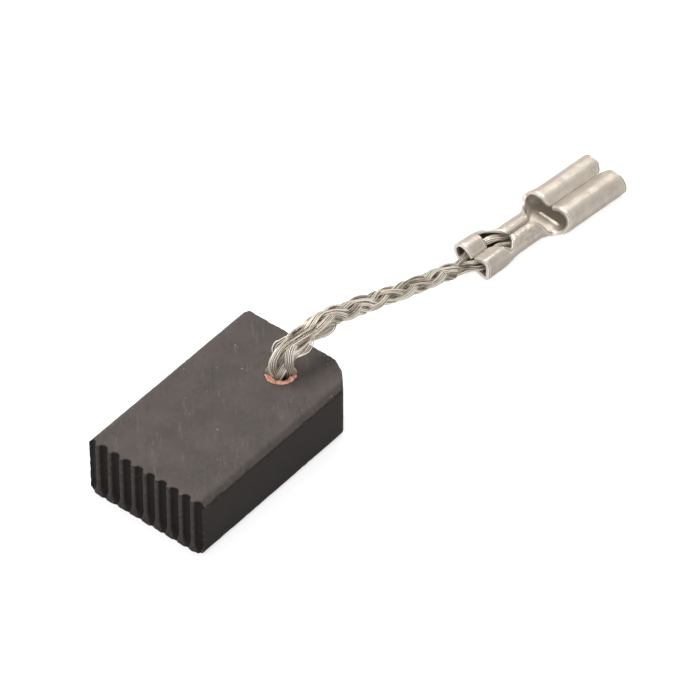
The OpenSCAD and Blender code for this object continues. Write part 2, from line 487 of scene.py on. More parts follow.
@dataclass(frozen=True)
class CarbonFinish:
    """Pressed carbon-graphite: matt, warm grey, with a fine grain, grinding marks and pale specks."""

    light: Colour = (0.139, 0.116, 0.109)
    medium: Colour = (0.121, 0.103, 0.096)
    mild: Colour = (0.105, 0.091, 0.086)
    dark: Colour = (0.086, 0.074, 0.070)
    # side: the sides' colour, darker partly for their pressed finish and partly as painted shade
    side: Colour = (0.021, 0.017, 0.0145)
    scored: Colour = (0.070, 0.060, 0.056)
    brushed: Colour = (0.185, 0.160, 0.150)
    grainy: Colour = (0.16, 0.138, 0.128)
    worn: Colour = (0.20, 0.175, 0.16)
    # painted shade deep in the grooves
    groove_shade_colour: Colour = (0.010, 0.008, 0.007)
    speck: Colour = (0.42, 0.39, 0.37)
    grinding: float = -42.0

    def material(self) -> bpy.types.Material:
        """Builds the material, which reads the block's "wear" and "land" attributes and its attribute of
        painted shade in the grooves.

        Returns:
            The material.
        """
        g = ShaderGraph(bpy.data.materials.new("pressed_carbon"))
        place = g.coords()
        grain = g.noise(place, 8.0, 3.0, 0.7)
        marks = g.noise(g.coords((0.42, 2.1, 1.0), self.grinding), 1.0, 4.0, 0.6)
        cloud = g.noise(place, 0.42, 5.0, 0.68)
        top = g.coats(
            g.ramp(cloud, (0.36, self.mild), (0.50, self.medium), (0.64, self.light)),
            (g.span(marks, 0.58, 0.68, 0.0, 0.30), self.scored),
            (g.span(marks, 0.41, 0.32, 0.0, 0.60), self.brushed),
            (g.span(grain, 0.42, 0.72, 0.0, 0.40), self.grainy),
        )
        pressed = g.coats(
            self.side,
            (g.span(grain, 0.4, 0.75, 0.0, 0.26), self.dark),
            (g.times(g.attribute("land"), 0.48), self.dark),
        )
        # Upward faces take the top's colours and the rest take the sides': partly the ground top's own
        # finish, partly painted light and sheen on the top and painted shade on the sides
        up = g.upward()
        ground_and_lit_top = g.span(g.times(up, up), 0.20, 0.53)
        wear = g.times(g.attribute("wear"), g.span(g.noise(place, 3.2, 3.0, 0.7), 0.42, 0.62))
        clear = g.times(ground_and_lit_top, g.span(g.noise(place, 0.5, 2.0), 0.42, 0.6, 0.15, 0.8))
        body = g.coats(
            g.blend(ground_and_lit_top, pressed, top),
            (g.times(wear, 0.8, True), self.worn),
            (g.times(g.dots(place, 1.5, 0.42, 0.14), clear), self.speck),
            # painted shade down in the grooves
            (g.times(g.attribute("hollow"), 0.9), self.groove_shade_colour),
        )
        relief = g.math(Op.ADD, g.times(grain, 0.6), g.times(marks, 0.6))
        values = {
            "Base Color": body,
            "Specular IOR Level": 0.11,
            "Roughness": g.span(grain, 0.3, 0.7, 0.54, 0.72),
            "Normal": g.bump(relief, 0.03, 0.55),
        }
        return g.finish(g.add("BsdfPrincipled", values))


@dataclass(frozen=True)
class CopperPowderFinish:
    """Tamped copper powder: pink and granular, with painted glints on the grains."""

    # bright: the palest grains, partly the powder's colour and partly painted glints and painted light
    bright: Colour = (1.0, 0.66, 0.53)
    medium: Colour = (1.0, 0.42, 0.25)
    deep: Colour = (0.24, 0.055, 0.03)

    def material(self) -> bpy.types.Material:
        """Builds the material.

        Returns:
            The material.
        """
        g = ShaderGraph(bpy.data.materials.new("tamped_copper_powder"))
        place = g.coords()
        # The mottle runs from deep red to pale pink; its pale spots are painted glints
        mottle_and_glints = g.noise(place, 6.0, 3.0, 0.75)
        values = {
            "Base Color": g.ramp(mottle_and_glints, (0.37, self.deep), (0.43, self.medium), (0.54, self.bright)),
            "Metallic": 0.08,
            "Roughness": 0.34,
            "Normal": g.bump(g.noise(place, 22.0, 2.0, 0.7), 0.03, 0.7),
        }
        return g.finish(g.add("BsdfPrincipled", values))


@dataclass(frozen=True)
class TinnedWireFinish:
    """Fine tinned copper wire: pale, warm silver, a little dulled, darker where solder fumes reached it and
    with painted shade under and between the wires.
    """

    bright: Colour = (1.0, 0.94, 0.84)
    pale: Colour = (0.93, 0.84, 0.71)
    dull: Colour = (0.33, 0.275, 0.205)
    stain_and_shade_colour: Colour = (0.10, 0.075, 0.045)

    def material(self) -> bpy.types.Material:
        """Builds the material, which reads the wires' "tone" attribute, with its painted shade and light, and
        their attribute of stain and painted shade.

        Returns:
            The material.
        """
        g = ShaderGraph(bpy.data.materials.new("tinned_wire"))
        place = g.coords()
        patch = g.noise(place, 0.9, 3.0, 0.6)
        mixed = g.math(Op.ADD, g.times(g.attribute("tone"), 0.6), g.times(patch, 0.5))
        clean = g.ramp(mixed, (0.22, self.dull), (0.55, self.pale), (0.78, self.bright))
        values = {
            "Base Color": g.blend(g.attribute("stain"), clean, self.stain_and_shade_colour),
            "Metallic": 0.4,
            "Roughness": 0.30,
            "Normal": g.bump(g.noise(place, 14.0, 2.0), 0.01, 0.4),
        }
        return g.finish(g.add("BsdfPrincipled", values))


@dataclass(frozen=True)
class TinnedSheetFinish:
    """Tinned brass sheet: satin, warm grey silver, with rolling marks, rubs, dull spots and tool marks."""

    clean: Colour = (0.62, 0.56, 0.49)
    body: Colour = (0.56, 0.50, 0.43)
    shade: Colour = (0.47, 0.415, 0.35)
    dulled: Colour = (0.47, 0.44, 0.37)
    brassy: Colour = (0.64, 0.54, 0.48)
    lined: Colour = (0.40, 0.355, 0.30)
    spot: Colour = (0.20, 0.165, 0.14)
    # bore: painted light on the inner skin forward of the crimp
    bore: Colour = (0.74, 0.67, 0.58)
    # painted shade inside the wings and crimp
    soot: Colour = (0.060, 0.050, 0.038)
    # painted shade and reflection for faces that turn sideways and down
    side_shade: Colour = (0.26, 0.225, 0.19)
    # rim: painted highlight along the sheet's edges
    rim: Colour = (0.78, 0.73, 0.66)
    # coined: painted shade in the line coined just inside the edge
    coined: Colour = (0.24, 0.20, 0.165)
    rolling: float = 6.0

    def material(self) -> bpy.types.Material:
        """Builds the material, which reads the sheet's "pressed", "margin" and "inside" attributes and its
        attribute of painted shade inside the wings and crimp.

        Returns:
            The material.
        """
        g = ShaderGraph(bpy.data.materials.new("tinned_sheet"))
        place = g.coords()
        cloud = g.noise(place, 0.7, 4.0, 0.6)
        fine = g.noise(place, 7.0, 3.0, 0.65)
        lines = g.noise(g.coords((0.25, 6.0, 6.0), self.rolling), 1.0, 2.0)
        tarnish = g.noise(place, 1.6, 3.0, 0.65)
        pressed, inside, margin = (g.attribute(name) for name in ("pressed", "inside", "margin"))
        grime = g.times(pressed, g.span(g.noise(place, 2.4, 4.0, 0.7), 0.5, 0.68))
        # painted reflection: outside the bore, faces darken as they turn sideways and down
        side_shade = g.times(g.span(g.upward(), 0.45, -0.05), g.span(inside, 1.0, 0.0))
        body = g.coats(
            g.ramp(cloud, (0.30, self.shade), (0.60, self.body), (0.85, self.clean)),
            (g.span(tarnish, 0.52, 0.66, 0.0, 0.55), self.dulled),
            (g.span(tarnish, 0.46, 0.34, 0.0, 0.50), self.brassy),
            (g.span(lines, 0.40, 0.68, 0.0, 0.32), self.lined),
            (g.times(g.dots(place, 0.62, 0.55, 0.09), 0.6), self.spot),
            (g.times(grime, 0.42), self.spot),
            # painted light on the inner skin forward of the crimp
            (g.times(inside, 0.6), self.bore),
            # painted shade inside the wings and crimp
            (g.times(g.attribute("sooty"), 0.82), self.soot),
            (g.times(side_shade, 0.5), self.side_shade),
            # Painted highlight along the edge, painted shade in the coined line, and a second painted
            # highlight beyond it
            (g.span(margin, 0.09, 0.04, 0.0, 0.75), self.rim),
            (g.times(g.band(margin, 0.09, 0.13, 0.15, 0.20), 0.65), self.coined),
            (g.times(g.band(margin, 0.17, 0.21, 0.25, 0.33), 0.55), self.rim),
        )
        relief = g.math(Op.ADD, g.times(fine, 0.5), g.times(lines, 0.35))
        dents = g.times(pressed, g.noise(place, 3.0, 3.0, 0.6))
        values = {
            "Base Color": body,
            "Metallic": 0.6,
            "Roughness": g.span(fine, 0.3, 0.7, 0.31, 0.44),
            "Normal": g.bump(dents, 0.09, 0.6, g.bump(relief, 0.018, 0.45)),
        }
        return g.finish(g.add("BsdfPrincipled", values))


@dataclass(frozen=True)
class FloorFinish:
    """A plain pale floor that shows as white round a soft shadow."""

    seen: Colour = (0.90, 0.90, 0.90)
    bounced: Colour = (0.60, 0.60, 0.60)
    lift: float = 0.62

    def material(self) -> bpy.types.Material:
        """Builds the material, which is paler to the camera than to the light that it throws back.

        Returns:
            The material.
        """
        g = ShaderGraph(bpy.data.materials.new("studio_floor"))
        path = g.add("LightPath").outputs
        direct = g.math(Op.MAXIMUM, path["Is Camera Ray"], path["Is Glossy Ray"])
        surface = g.add("BsdfDiffuse", {"Color": g.blend(direct, self.bounced, self.seen)})
        glow = g.add("Emission", {"Color": WHITE, "Strength": g.times(direct, self.lift)})
        return g.finish(g.add("AddShader", {0: surface, 1: glow}))


# ---------------------------------------------------------------------------------------------
# The block and its copper
# ---------------------------------------------------------------------------------------------


@dataclass
class CarbonBlock:
    """The pressed block: a serrated face, chamfered long edges, a cut and a worn corner and a blind hole."""

    edge_chamfer: float = 0.60
    corner_cut: float = 2.25
    worn_corner: float = 0.4
    groove_count: int = 10
    groove_pitch: float = 1.38
    groove_r: float = 0.48
    groove_fade: float = 1.3
    groove_foot_r: float = 0.12
    groove_sides: int = 40
    hole_d: float = 3.0
    hole_depth: float = 4.4
    hole_sides: int = 64
    overshoot: float = 1.0
    foot_lap: float = 0.2
    voxel: float = 0.115
    worn_depth: float = 0.10
    edge_least: float = 0.04
    chips: tuple[float, float] = (0.55, 3.7)  # scale and seed
    flecks: tuple[float, float] = (2.3, 9.1)
    land_depth: float = 0.12
    finish: CarbonFinish = CarbonFinish()

    def __post_init__(self) -> None:
        """Takes the overall size and the hole's place from the frame."""
        self.low, self.high = (np.array(corner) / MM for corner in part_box("carbon_block"))
        self.hole = middle_of("copper_tamping")[:2]

    def blank(self) -> bpy.types.Mesh:
        """The block before its grooves, chamfers and hole: an outline in plan, drawn up.

        Returns:
            The mesh.
        """
        x0, y0, _ = self.low
        x1, y1, top = self.high
        cut, worn = self.corner_cut, self.worn_corner
        outline = [
            (x0, y0), (x1 - cut, y0), (x1 - 0.36 * cut, y0 + 0.60 * cut), (x1, y0 + 1.25 * cut),
            (x1, y1), (x0 + worn, y1), (x0 + 0.35 * worn, y1 - 0.5 * worn), (x0, y1 - worn),
        ]
        n = len(outline)
        points = [(x, y, z) for z in (0.0, top) for x, y in outline]
        faces = [list(range(n - 1, -1, -1)), list(range(n, 2 * n))]
        faces += [[i, (i + 1) % n, n + (i + 1) % n, n + i] for i in range(n)]
        return mesh_of("block_blank", points, faces)

    def wedges(self) -> bpy.types.Mesh:
        """Four three-sided bars that take the chamfers off the long edges.

        Returns:
            The bars in one mesh.
        """
        points: list[Triple] = []
        faces: list[list[int]] = []
        reach, inset = self.overshoot, self.edge_chamfer + self.overshoot
        ends = (self.low[0] - reach, self.high[0] + reach)
        for y, out_y in ((self.low[1], -1), (self.high[1], 1)):
            for z, out_z in ((0.0, -1), (self.high[2], 1)):
                far_y, far_z = y + out_y * reach, z + out_z * reach
                bar = [(y - out_y * inset, far_z), (far_y, z - out_z * inset), (far_y, far_z)]
                if out_y * out_z > 0:
                    bar.reverse()
                n = len(points)
                points += [(x, *corner) for x in ends for corner in bar]
                faces += [[n, n + 1, n + 2], [n + 5, n + 4, n + 3]]
                faces += [[n + i, n + 3 + i, n + 3 + (i + 1) % 3, n + (i + 1) % 3] for i in range(3)]
        return mesh_of("chamfer_bars", points, faces)

    def cut(
        self, obj: bpy.types.Object, bars: bpy.types.Object, dressing: bpy.types.Material
    ) -> bpy.types.Mesh:
        """Cuts the row of grooves, the chamfers and the blind hole out of the blank.

        Args:
            obj: the blank.
            bars: the chamfers' bars.
            dressing: the block's material.

        Returns:
            The cut block.
        """
        g = GeometryGraph("carbon_block_cuts")
        count = g.size("Groove count", self.groove_count)
        pitch = g.size("Groove pitch", self.groove_pitch * MM)
        radius = g.size("Groove radius", self.groove_r * MM)
        hole_r = g.size("Hole radius", self.hole_d / 2 * MM)
        fade, lap = self.groove_fade * MM, self.foot_lap * MM
        first = (self.low[0] * MM, -(self.groove_count - 1) / 2 * self.groove_pitch * MM, 0.0)
        step = g.add("ShaderNodeCombineXYZ", {1: pitch})
        row = g.add("MeshLine", {"Count": count, "Start Location": first, "Offset": step})
        cone = {"Vertices": self.groove_sides, "Radius Top": radius}
        tall = (self.high[2] + 2 * self.overshoot) * MM
        shaft = g.add("MeshCone", {**cone, "Radius Bottom": radius, "Depth": tall})
        foot = g.add("MeshCone", {**cone, "Radius Bottom": self.groove_foot_r * MM, "Depth": fade + lap})
        ends = [g.moved(shaft, (0.0, 0.0, fade)), g.moved(foot, (0.0, 0.0, -lap))]
        cutter = g.add("JoinGeometry", {0: ends})
        grooves = g.add("InstanceOnPoints", {"Points": row, "Instance": cutter})
        deep = 2 * self.hole_depth * MM
        bore = g.add("MeshCylinder", {"Vertices": self.hole_sides, "Radius": hole_r, "Depth": deep})
        placed = g.moved(bore, (self.hole[0] * MM, self.hole[1] * MM, self.high[2] * MM))
        given = g.add("ObjectInfo", {0: bars}).outputs["Geometry"]
        tools = g.add("RealizeInstances", {0: g.add("JoinGeometry", {0: [grooves, placed, given]})})
        inputs = {0: g.entry, 1: tools, "Self Intersection": True}
        made = g.add("MeshBoolean", inputs, operation="DIFFERENCE", solver="EXACT")
        return g.run(obj, made, dressing)

    def weather(self, mesh: bpy.types.Mesh) -> None:
        """Rounds and chips the edges unevenly, and stores how worn each point is and the painted shade of the
        points deep in a groove.

        Args:
            mesh: the evenly meshed block, changed in place.
        """
        sharp = places_of(mesh)
        soft = relaxed(mesh, sharp, 1)
        softer = relaxed(mesh, soft, 5)
        edge = np.clip(np.linalg.norm(softer - sharp, axis=1) / self.worn_depth, 0.0, 1.0)
        near = edge > self.edge_least
        chips, fine = np.zeros(len(sharp)), np.zeros(len(sharp))
        chips[near] = noise_at(sharp[near], *self.chips)
        fine[near] = noise_at(sharp[near], *self.flecks)
        share = np.clip(0.22 + 0.9 * chips + 1.3 * fine, 0.0, 1.6)
        set_places(mesh, np.clip(soft + (softer - soft) * share[:, None], self.low, self.high))
        inward = sharp[:, 0] - self.low[0]
        across = np.abs(sharp[:, 1])
        half_pitch = self.groove_pitch / 2
        row = (self.groove_count - 1) * half_pitch
        off = np.abs((sharp[:, 1] + row + half_pitch) % self.groove_pitch - half_pitch)
        cupped = (inward < self.groove_r + 0.04) & (off < self.groove_r + 0.03)
        in_groove = cupped & (across < row + self.groove_r)
        below_top = np.clip((self.high[2] - sharp[:, 2]) / 0.25, 0.0, 1.0)
        set_values(
            mesh,
            wear=edge * np.clip(0.25 + share, 0.0, 1.0),
            # painted shade: darker the deeper a point lies in a groove, below the top
            hollow=np.clip((inward - 0.06) / 0.24, 0.0, 1.0) * in_groove * below_top,
            land=inward < self.land_depth,
        )

    def build(self) -> bpy.types.Object:
        """Builds the block.

        Returns:
            The block's object, which stands for the CAD node.
        """
        dressing = self.finish.material()
        obj = shown("block", self.blank())
        bars = shown("chamfer_bars", self.wedges())
        obj.data = self.cut(obj, bars, dressing)
        bpy.data.objects.remove(bars)
        remesh = obj.modifiers.new("even", "REMESH")
        remesh.mode = "VOXEL"
        remesh.voxel_size = self.voxel * MM
        obj.data = with_modifiers(obj)
        obj.data.materials.clear()
        obj.data.materials.append(dressing)
        self.weather(obj.data)
        smooth(obj.data)
        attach(obj, "root")
        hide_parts("carbon_block")
        return obj


@dataclass
class CopperTamping:
    """The tamped powder: a rough collar between the hole's wall and the braid, with loose grains on it."""

    inner_r: float = 0.8692
    outer_r: float = 1.48
    recess: float = 0.07
    around: int = 120
    across: int = 12
    grains: int = 420
    grain_r: float = 0.085
    grain_seed: int = 7
    inner_fall: float = 0.16
    crown_rise: float = 0.06
    outer_fall: float = 0.05
    lumps: tuple[Triple, Triple] = ((2.2, 1.0, 0.10), (3.7, 2.0, 0.19))  # scale, seed and height
    crown_area: float = 3.6e-6  # square metres
    crown_slope: float = 0.35
    finish: CopperPowderFinish = CopperPowderFinish()

    def __post_init__(self) -> None:
        """Takes the collar's axis and height from the frame."""
        self.axis = middle_of("copper_tamping")[:2]
        self.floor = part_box("copper_tamping")[0].z / MM
        self.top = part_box("carbon_block")[1].z / MM - self.recess

    def ring(self, r: float, height: float) -> Array:
        """A level ring of points round the axis."""
        turn = np.linspace(0.0, 2 * math.pi, self.around, endpoint=False)
        x, y = self.axis[0] + r * np.cos(turn), self.axis[1] + r * np.sin(turn)
        return np.stack([x, y, turn * 0 + height], 1)

    def collar(self) -> bpy.types.Mesh:
        """A ring whose rough crown rises in the middle and falls to the wires and to the wall.

        Returns:
            The mesh.
        """
        rings = []
        for t in np.linspace(0.0, 1.0, self.across + 1):
            crown = self.top - self.inner_fall * (1 - t) ** 2 + self.crown_rise * math.sin(math.pi * t)
            crown -= self.outer_fall * t**6
            ring = self.ring(self.inner_r + (self.outer_r - self.inner_r) * t, crown)
            ring[:, 2] += sum(noise_at(ring, scale, seed) * height for scale, seed, height in self.lumps)
            rings.append(ring)
        rings += [self.ring(r, self.floor + 0.01) for r in (self.outer_r, self.inner_r)]
        n, faces = self.around, []
        for i in range(len(rings)):
            a, b = i * n, (i + 1) % len(rings) * n
            faces += [[a + k, b + k, b + (k + 1) % n, a + (k + 1) % n] for k in range(n)]
        return mesh_of("collar", np.concatenate(rings), faces)

    def build(self) -> bpy.types.Object:
        """Builds the collar and scatters grains over its crown.

        Returns:
            The collar's object, which stands for the CAD node.
        """
        obj = shown("copper_powder", self.collar())
        g = GeometryGraph("powder_grains")
        size = g.size("Grain radius", self.grain_r * MM)
        density = g.size("Grains per square metre", self.grains / self.crown_area)
        up = g.add("ShaderNodeSeparateXYZ", {0: g.add("InputNormal")}).outputs[2]
        crown = g.add("FunctionNodeCompare", {0: up, 1: self.crown_slope}, operation="GREATER_THAN")
        inputs = {"Mesh": g.entry, "Selection": crown, "Density": density, "Seed": self.grain_seed}
        spots = g.add("DistributePointsOnFaces", inputs)
        grain = g.add("MeshIcoSphere", {"Radius": size, "Subdivisions": 2})
        turn, scale = (
            g.add("FunctionNodeRandomValue", {0: low, 1: high, "Seed": seed}, data_type="FLOAT_VECTOR")
            for low, high, seed in (
                ((0.0, 0.0, 0.0), (6.0, 6.0, 6.0), 3),
                ((0.4, 0.4, 0.4), (1.2, 1.0, 0.8), 5),
            )
        )
        inputs = {"Points": spots, "Instance": grain, "Rotation": turn, "Scale": scale}
        loose = g.add("InstanceOnPoints", inputs)
        obj.data = g.run(obj, g.add("JoinGeometry", {0: [g.entry, loose]}), self.finish.material())
        smooth(obj.data)
        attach(obj, "root")
        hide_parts("copper_tamping")
        return obj


# ---------------------------------------------------------------------------------------------
# The braid
# ---------------------------------------------------------------------------------------------


class Strand(Enum):
    """The parted braid's strands, as distances from the terminal's rear, sideways places and heights."""

    UPPER = (
        (-4, 0.75, 1.5), (-1, 1.0, 1.4), (0.5, 1.35, 1.35), (1.8, 1.25, 1.4),
        (2.6, 1.0, 1.75), (3.4, 0.75, 1.75), (4.3, 0.62, 1.3), (8, 0.6, 1.1),
    )
    MIDDLE = (
        (-4, 0.3, 1.5), (-1, 0.25, 1.4), (0.5, -0.1, 1.3), (1.8, -0.2, 1.2),
        (2.8, -0.1, 1.55), (3.5, -0.25, 1.45), (4.3, -0.5, 1.2), (8, -0.55, 1.15),
    )
    LOWER = (
        (-4, 0.1, 1.1), (-1, -0.2, 1.0), (0.5, -0.75, 0.95), (1.8, -0.9, 0.95),
        (2.8, -0.8, 1.05), (3.5, -0.75, 1.1), (4.3, -0.65, 0.9), (8, -0.6, 0.9),
    )


@dataclass(frozen=True)
class Loops:
    """A group of wires that have sprung out of the braid together.

    Attributes:
        hand: the side that they stand out on, +1 or -1.
        count: how many there are.
        knots: distance along the braid and distance from its centre line.
    """

    hand: int
    count: int
    knots: Line


@dataclass
class Braid:
    """The pigtail: eight carriers of fine wire plaited over and under, splayed where the block holds it."""

    # Along, sideways, height above the line that falls from the block's top to the floor, thickness
    route: tuple[tuple[float, float, float, float], ...] = (
        (0, 0, -4.1, 2), (0, 0, -2.8, 2), (0, 0, -1.4, 2), (0, 0, -0.1, 2), (0.1, 0, 0.9, 2.1),
        (0.4, -0.1, 1.85, 2.1), (0.95, -0.25, 2.7, 2), (1.75, -0.45, 3.4, 2), (2.75, -0.65, 4, 1.9),
        (3.9, -0.75, 4.4, 1.9), (5.1, -0.8, 4.5, 1.8), (6.4, -0.75, 4.3, 1.9), (7.9, -0.65, 3.95, 1.95),
        (9.7, -0.55, 3.5, 1.95), (11.7, -0.45, 3.05, 1.9), (13.8, -0.4, 2.6, 1.8), (16, -0.4, 2.2, 1.8),
        (18.2, -0.45, 1.85, 1.8), (20.4, -0.5, 1.55, 1.8), (22.5, -0.55, 1.35, 1.7), (24.5, -0.6, 1.2, 1.6),
        (26, -0.6, 1.25, 1.1), (27, -0.7, 1.2, 0.7), (28.9, -1.1, 1.15, 0.7), (31.1, -1.65, 1, 0.8),
        (32.5, -1.85, 0.95, 0.8), (33.4, -1.95, 0.95, 0.8),
    )
    mouth_knot: int = 3
    knot_steps: int = 16
    diameter: float = 1.8
    reach: float = 26.7
    lay: float = 18.5
    carriers: int = 8
    wires: int = 14
    row_wires: int = 7
    wire_r: float = 0.056
    wire_sides: int = 5
    waviness: float = 0.04
    ring_r: float = 0.66
    weave: float = 0.115
    bundle_w: float = 0.45
    layer_gap: float = 0.13
    wander: tuple[float, float] = (9.3, 4.1)
    strand_spread: tuple[float, float] = (0.36, 0.27)
    splay_share: float = 0.42
    splay_l: float = 1.5
    wire_seed: int = 41
    stray_seed: int = 8
    free_l: float = 31.2
    hidden_step: float = 0.9
    free_step: float = 0.3
    inner_step: float = 0.33
    splay_axis: Triple = (0.63, -0.775, 0.0)
    loops: tuple[Loops, ...] = (
        Loops(1, 2, (
            (4.9, 0.5), (5.9, 0.88), (5.9, 1.11), (6.14, 1.32),
            (6.65, 1.37), (6.93, 1.16), (7.51, 0.91), (8.3, 0.5),
        )),
        Loops(-1, 5, (
            (5.5, 0.5), (6.32, 1.03), (7.07, 1.33), (7.7, 1.48), (8.5, 1.26), (8.82, 0.99), (9.6, 0.5),
        )),
        Loops(-1, 7, (
            (8.2, 0.5), (9.11, 1.11), (10.34, 1.43), (11.67, 1.3), (12.37, 1.01), (12.82, 0.68), (13.6, 0.4),
        )),
    )
    stray_tone: float = 0.62
    stray_stain: float = 0.40
    finish: TinnedWireFinish = TinnedWireFinish()

    def __post_init__(self) -> None:
        """Lays the centre line from the frame's hole and block height."""
        self.hole = middle_of("copper_tamping")[:2]
        self.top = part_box("carbon_block")[1].z / MM
        knots = np.array([
            (self.hole[0] + a, self.hole[1] + b, self.top * (1 - min(a / self.reach, 1)) + c, d)
            for a, b, c, d in self.route
        ])
        self.line = self.curve(knots)
        self.arc = running(self.line[:, :3])
        self.mouth = float(self.arc[self.mouth_knot * self.knot_steps])
        self.entry = float(np.interp(self.hole[0] + self.reach, self.line[:, 0], self.arc))
        self.frames = self.axes()

    def curve(self, knots: Array) -> Array:
        """A smooth line through knots, by cubic pieces that take their slopes from the knots on either side.

        Args:
            knots: one row a knot.

        Returns:
            The line, one row a point.
        """
        padded = np.vstack([2 * knots[0] - knots[1], knots, 2 * knots[-1] - knots[-2]])
        t = np.linspace(0, 1, self.knot_steps, endpoint=False)[:, None]
        pieces = []
        for p0, p1, p2, p3 in zip(padded, padded[1:], padded[2:], padded[3:]):
            square = (2 * p0 - 5 * p1 + 4 * p2 - p3) * t**2
            cube = (3 * p1 - p0 - 3 * p2 + p3) * t**3
            pieces.append(0.5 * (2 * p1 + (p2 - p0) * t + square + cube))
        return np.vstack([*pieces, knots[-1:]])

    def axes(self) -> tuple[Array, Array, Array]:
        """Axes along the centre line that turn as little as they can, so that they don't twist.

        Returns:
            The tangent, the side and the up direction at each point.
        """
        tangent = unit(np.gradient(self.line[:, :3], axis=0))
        side = np.zeros_like(tangent)
        last = np.array((0.0, 1.0, 0.0))
        for i, ahead in enumerate(tangent):
            last = last - ahead * (last @ ahead)
            last = last / np.linalg.norm(last)
            side[i] = last
        return tangent, side, np.cross(side, tangent)

    def at(self, s: Array) -> tuple[Array, Array, Array, Array, Array]:
        """Place, thickness, tangent, side and up at distances along the line."""
        place = read(s, self.arc, self.line)
        return place[:, :3], place[:, 3], *(read(s, self.arc, axis) for axis in self.frames)

    def stations(self) -> Array:
        """Distances at which every wire has a point, closer together where the braid is free.

        Returns:
            The distances.
        """
        mouth, end = self.mouth, self.arc[-1] - 0.15
        hidden = np.arange(0.05, mouth - 0.5, self.hidden_step)
        free = np.arange(mouth - 0.2, mouth + self.free_l, self.free_step)
        inner = np.arange(mouth + (self.free_l + 0.1), end, self.inner_step)
        return np.r_[hidden, free, inner, end]

    def wire_lines(self, terminal: "Terminal") -> tuple[list[Array], list[Array], list[Array]]:
        """Every wire's line, from its plaited place outside the terminal to its strand inside it.

        Args:
            terminal: the terminal, for the places in it that hold the strands.

        Returns:
            The lines, each point's tone with its painted shade and light, and each point's stain and painted
            shade.
        """
        rng = np.random.default_rng(self.wire_seed)
        s = self.stations()
        centre, thick, _, side, up = self.at(s)
        size = thick / self.diameter
        inner = s - self.entry
        parted = ease((inner + 3.0) / 3.4)
        splay = bell(s, self.mouth, self.splay_l)
        opened = np.array(self.splay_axis)
        half = self.carriers // 2
        lines, tones, stains_and_shades = [], [], []
        for c in range(self.carriers):
            turning = 1 if c < half else -1
            phase = 2 * math.pi * (c % half) / half + (0.0 if turning > 0 else math.pi / 4)
            slow, fast = (2 * math.pi * s / length for length in self.wander)
            wobble = 0.10 * np.sin(slow + c * 1.7) + 0.04 * np.sin(fast + c * 2.9)
            angle = turning * 2 * math.pi * s / self.lay + phase + wobble
            over = np.cos(math.pi * (self.carriers * s / self.lay - 0.5)) * turning
            radius = (self.ring_r + self.weave * over * (1 + 0.3 * splay)) * size
            radius = radius * (1 + 0.06 * np.sin(s * 1.1 + c)) + 0.12 * splay
            held = terminal.strand(inner, (Strand.UPPER, Strand.MIDDLE, Strand.UPPER, Strand.LOWER)[c % 4])
            spread = self.strand_spread[c % 2]
            tone, lean = rng.uniform(0.35, 0.65), rng.uniform(-0.25, 0.25)
            for w in range(self.wires):
                # Outside: side by side in two layers, on the carrier's own turn round the braid
                place = (w % self.row_wires - 3) / 3 + rng.uniform(-0.12, 0.12)
                layer = (w // self.row_wires - 0.5) * self.layer_gap + rng.uniform(-0.02, 0.02)
                bow = rng.uniform(-1, 1) * 0.06
                bow = bow * np.sin(2 * math.pi * (s / rng.uniform(4, 9) + rng.uniform()))
                width = self.bundle_w * size * (1 + lean * np.sin(s / 3.1 + c)) * (1 - 0.3 * splay)
                turn = angle + (place * width + bow * 0.5) / np.maximum(radius, 0.3)
                r = radius + layer + bow * 0.35 - 0.10 * place**2 * size
                loose = centre + side * (r * np.cos(turn))[:, None] + up * (r * np.sin(turn))[:, None]
                loose = loose + opened * ((loose - centre) @ opened * splay * self.splay_share)[:, None]
                # Inside: a round, slightly twisted bundle about the strand's own line
                twist = inner * 0.35 + phase + place * 1.2 + w * 2.4
                gather = spread * math.sqrt((w + 0.5) / self.wires) * (1 + 0.15 * np.sin(inner + w))
                tight = held + terminal.across * (gather * np.cos(twist))[:, None]
                tight[:, 2] += gather * 0.85 * np.sin(twist)
                lines.append(loose * (1 - parted[:, None]) + tight * parted[:, None])
                # The tone is the carrier's random tone, with painted shade on the wires at a ribbon's edges
                # and painted light on the wires just above the mouth
                own = tone + 0.10 + rng.uniform(-0.42, 0.42) - 0.34 * abs(place) ** 2.5
                tones.append(np.clip(own + 0.30 * bell(s, self.mouth + 1.3, 1.6), 0.0, 1.0))
                root = np.clip(1.0 - (s - self.mouth + 0.1) / rng.uniform(0.25, 1.25), 0.0, 1.0) * 0.95
                # painted shade: darker where a wire passes under the other carriers, at a ribbon's edges and
                # all along the inner layer; the root's darkening near the copper is stain
                wire_shade = 0.40 * np.clip(-over, 0.0, 1.0) ** 1.5 + 0.20 * abs(place) ** 3
                if w < self.row_wires:
                    wire_shade = wire_shade + 0.62 * (1 - 0.7 * parted)
                stains_and_shades.append(np.clip(np.maximum(root, wire_shade * (1 - 0.35 * splay)), 0.0, 1.0))
        return lines, tones, stains_and_shades

    def stray_lines(self, camera_back: Array) -> list[Array]:
        """Loops of a few wires that have sprung out of the braid.

        Args:
            camera_back: the direction that the loops are square to.

        Returns:
            The loops' lines.
        """
        rng = np.random.default_rng(self.stray_seed)
        made = []
        for group in self.loops:
            away, out = self.curve(np.array(group.knots))[::4].T
            for w in range(group.count):
                centre, _, tangent, _, _ = self.at(away + rng.uniform(-0.25, 0.25))
                outward = unit(np.cross(np.broadcast_to(camera_back, tangent.shape), tangent))
                reach = 0.45 + (out - 0.45) * (1 - 0.62 * w / group.count)
                depth = (0.2 + 0.35 * w / group.count) * np.sin(np.linspace(0, math.pi, len(out)))
                loop = centre + outward * (group.hand * reach)[:, None]
                made.append(loop + camera_back * depth[:, None] * rng.uniform(-0.6, 0.9))
        return made

